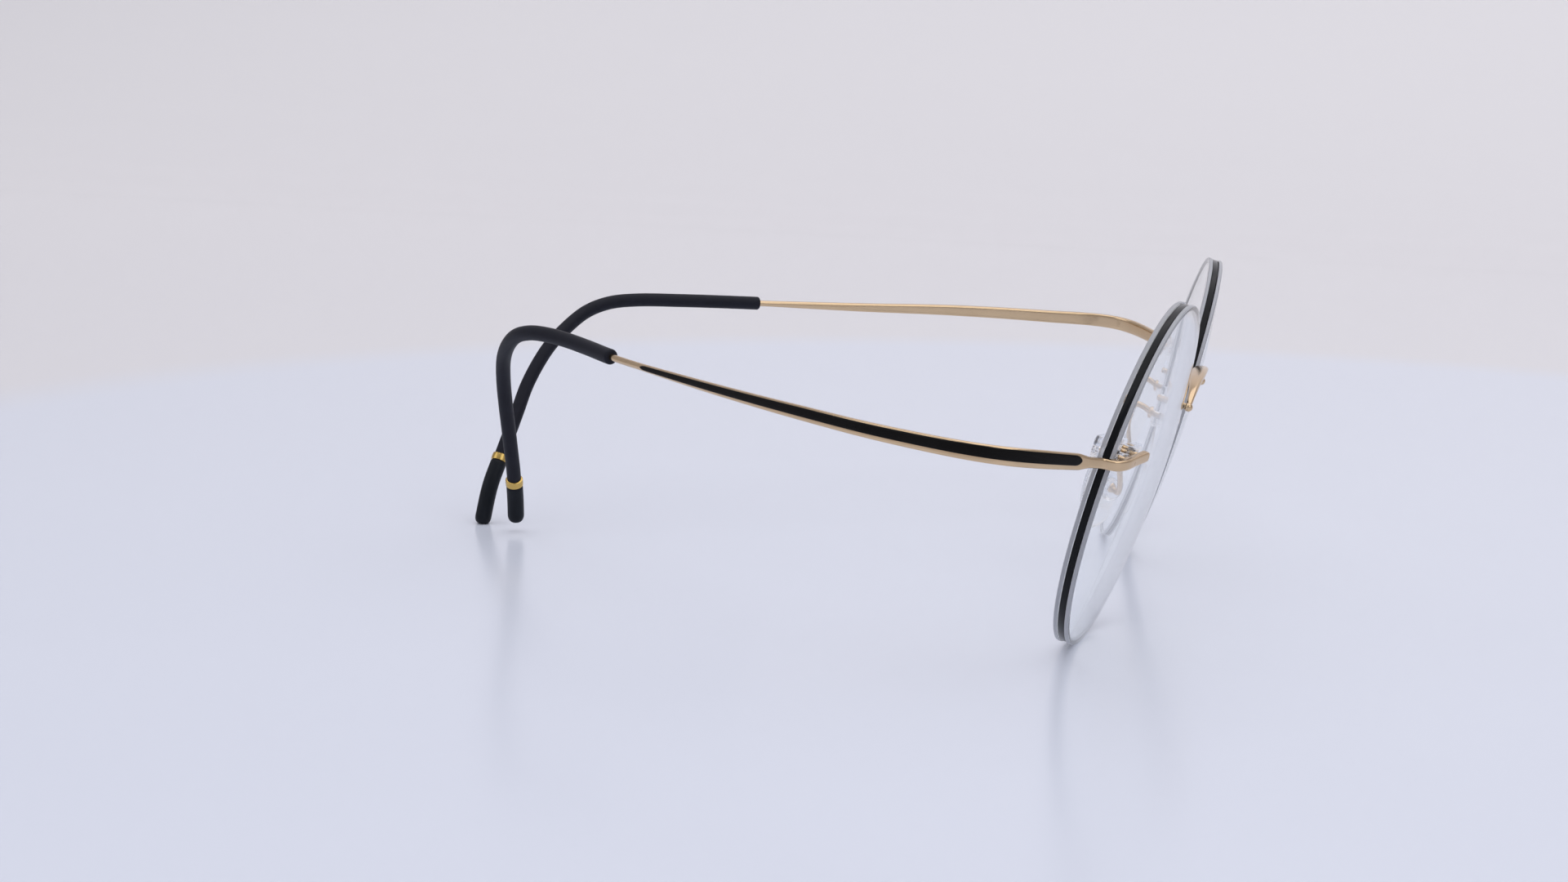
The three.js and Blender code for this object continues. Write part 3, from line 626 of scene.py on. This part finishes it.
def make_pads(side):
    name = "left" if side > 0 else "right"
    back = padAt(0, 1.0, -4.1)
    pts = [pPin, pPin - N * 0.9 + V(0, 0, 0.35), V(12.1, 1.3, 27.35), V(12.3, 2.7, 25.9), V(12.2, 3.1, 23.9), V(12.3, 3.0, 20.6), back + V(0.3, -0.1, 1.8), back, BALL]
    crv = Curve(pts)
    parts = [sweep(crv, list(np.linspace(0, crv.L, 110)), lambda s: (0.40, 0.40, 1, 0), sides=20, up=V(0, 0.2, 1))]
    parts.append(rod(pPin - N * 0.2, at(A_U, PADARM_V, frontW(math.hypot(A_U, PADARM_V)) + 0.15), PIN_R, 20, 0.12))
    parts.append(rod(at(A_U, PADARM_V, aRear - 1.20), at(A_U, PADARM_V, aRear - 1.75), 0.8, 28, 0.12))
    parts.append(ball(BALL, 0.70))
    ob = mesh("pad_wire_" + name, parts, mirror=side < 0)
    coat(ob, GOLD)
    smooth(ob, 50)
    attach(ob, "front")
    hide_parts("pad_arm_" + name)

    pr = [(0, 1.45), (1.45, 1.45), (1.66, 1.36), (1.75, 1.1), (1.75, -0.55), (1.60, -0.8), (1.30, -0.9), (1.18, -0.55), (1.18, 0.15), (0.75, 1.02), (0, 1.02)]
    v, f = lathe([(r, w) for r, w in pr], 40)
    ob = mesh("pad_socket_" + name, [([BALL + padSide * q[0] + padUp * q[1] + padN * q[2] for q in v], f)], mirror=side < 0)
    coat(ob, NYLON)
    smooth(ob, 35)
    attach(ob, "pad_" + name)
    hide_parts("pad_cup_" + name)

    m, n = 40, 64
    prof = [(math.sin(math.pi * i / m), -math.cos(math.pi * i / m)) for i in range(m + 1)]
    prof[0], prof[-1] = (0, -1), (0, 1)
    v, f = lathe(prof, n)
    out = []
    for q in v:
        x, y, z = q
        # drop outline in the pad's plane, thin towards the rim, slightly domed on the nose side
        wide = 1 - 0.16 * y
        zz = z * (1.05 if z > 0 else 0.70)
        px, py, pz = x * 3.3 * wide, y * 5.8, zz
        if pz < -0.60 and math.hypot(px, py - 1.0) < 2.0:
            pz = -0.60
        out.append(padAt(px, py, pz))
    ob = mesh("silicone_pad_" + name, [(out, f)], mirror=side < 0)
    coat(ob, PADM_)
    smooth(ob, 60)
    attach(ob, "pad_" + name)
    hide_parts("nose_pad_" + name)


for side in (1, -1):
    make_lens(side)
    make_metal(side)
    make_inlay(side)
    make_sleeve_set(side)
    make_pads(side)
    nm = "left" if side > 0 else "right"
    for n in ("temple_spacer_", "temple_bushing_", "bridge_bushing_"):
        node_mat(n + nm, NYLON)
make_bridge()

# ------------------------------------------------------------------ set: pale sweep, soft light


def sweep_mat_painted_falloff():
    m, nt, b = nodes_of("pale_sweep_painted_falloff")
    tc = nt.nodes.new("ShaderNodeTexCoord")
    sep = nt.nodes.new("ShaderNodeVectorMath")
    sep.operation = "SUBTRACT"
    sep.inputs[1].default_value = ((29.2 - 0.48) / 1000, (-19.8 - 45.8) / 1000, 0)
    nt.links.new(tc.outputs["Object"], sep.inputs[0])
    ln = nt.nodes.new("ShaderNodeVectorMath")
    ln.operation = "LENGTH"
    nt.links.new(sep.outputs["Vector"], ln.inputs[0])
    nz = nt.nodes.new("ShaderNodeTexNoise")
    nz.inputs["Scale"].default_value = 3.0
    nt.links.new(tc.outputs["Object"], nz.inputs["Vector"])
    add = nt.nodes.new("ShaderNodeMath")
    add.operation = "MULTIPLY_ADD"
    nt.links.new(nz.outputs["Fac"], add.inputs[0])
    add.inputs[1].default_value = 0.012
    nt.links.new(ln.outputs["Value"], add.inputs[2])
    # painted light on the floor and wall: the base colour follows the distance from a point in front of the glasses,
    # bluish within about 0.24 m, then grey that lightens towards the wall as a painted light falloff
    rp = nt.nodes.new("ShaderNodeValToRGB")
    rp.color_ramp.interpolation = "EASE"
    rp.color_ramp.elements[0].position = 0.236
    rp.color_ramp.elements[0].color = (0.765, 0.80, 0.90, 1)
    rp.color_ramp.elements[1].position = 0.268
    rp.color_ramp.elements[1].color = (0.79, 0.775, 0.80, 1)
    # the lightest colour, at the far end of the ramp, is painted light on the wall
    far = rp.color_ramp.elements.new(1.0)
    far.color = (0.93, 0.91, 0.92, 1)
    nt.links.new(add.outputs["Value"], rp.inputs["Fac"])
    nt.links.new(rp.outputs["Color"], b.inputs["Base Color"])
    b.inputs["Roughness"].default_value = 0.22
    b.inputs["Specular IOR Level"].default_value = 0.35
    return m


def sweep_floor():
    """A flat table that rises into a wall far behind, extruded along Y."""
    prof = [(-1.6, 0.0), (0.55, 0.0)] + [(0.55 + 0.5 * math.sin(t), 0.5 - 0.5 * math.cos(t)) for t in np.linspace(0, math.pi / 2, 24)[1:]] + [(1.05, 2.2)]
    ys = (-2.6, 2.6)
    v = [(x, y, z) for x, z in prof for y in ys]
    f = [(2 * i, 2 * i + 1, 2 * i + 3, 2 * i + 2) for i in range(len(prof) - 1)]
    me = bpy.data.meshes.new("sweep")
    me.from_pydata(v, [], f)
    ob = bpy.data.objects.new("sweep", me)
    bpy.context.scene.collection.objects.link(ob)
    coat(ob, sweep_mat_painted_falloff())
    me.shade_smooth()


sweep_floor()


def area(name, loc, aim, size, power, color=(1, 1, 1)):
    l = bpy.data.lights.new(name, "AREA")
    l.shape = "RECTANGLE"
    l.size, l.size_y = size
    l.energy = power
    l.color = color
    o = bpy.data.objects.new(name, l)
    bpy.context.scene.collection.objects.link(o)
    o.location = loc
    o.rotation_euler = (Vector(aim) - Vector(loc)).to_track_quat("-Z", "Y").to_euler()
    return o


area("top_soft", (0.05, -0.1, 1.1), (0.0, 0.0, 0.0), (1.6, 1.6), 7.7, (1.0, 0.99, 1.0))
area("front_soft", (-0.9, -0.9, 0.7), (0.0, 0.0, 0.03), (0.9, 0.7), 2.1, (0.96, 0.98, 1.0))
area("side_soft", (-0.6, 1.0, 0.7), (0.0, 0.0, 0.03), (0.9, 0.7), 1.6, (0.98, 0.98, 1.0))

world = bpy.data.worlds.new("studio")
bpy.context.scene.world = world
world.use_nodes = True
wn = world.node_tree
bg = next(n for n in wn.nodes if n.type == "BACKGROUND")
bg.inputs["Color"].default_value = (0.90, 0.91, 1.0, 1)
bg.inputs["Strength"].default_value = 0.457

# ------------------------------------------------------------------ camera
F, PITCH, ROLL, AZ = 2954.2, 9.599, 2.047, 12.935
CAM = V(-325.112, -23.941, 73.320) + SHIFT
az, pt, rl = (math.radians(a) for a in (AZ, PITCH, ROLL))
fwd = V(math.cos(az) * math.cos(pt), math.sin(az) * math.cos(pt), -math.sin(pt))
right = V(math.sin(az), -math.cos(az), 0)
up = np.cross(right, fwd)
r2 = right * math.cos(rl) + up * math.sin(rl)
u2 = -right * math.sin(rl) + up * math.cos(rl)
cd = bpy.data.cameras.new("camera")
cd.sensor_width = 36.0
cd.sensor_fit = "HORIZONTAL"
cd.lens = F / 1920 * 36
cd.clip_start, cd.clip_end = 0.01, 20
cam = bpy.data.objects.new("camera", cd)
bpy.context.scene.collection.objects.link(cam)
mt = Matrix.Identity(4)
for i in range(3):
    mt[i][0], mt[i][1], mt[i][2], mt[i][3] = r2[i], u2[i], -fwd[i], CAM[i] / 1000
cam.matrix_world = mt
bpy.context.scene.camera = cam
bpy.context.scene.view_settings.view_transform = "Standard"
bpy.context.scene.view_settings.look = "None"
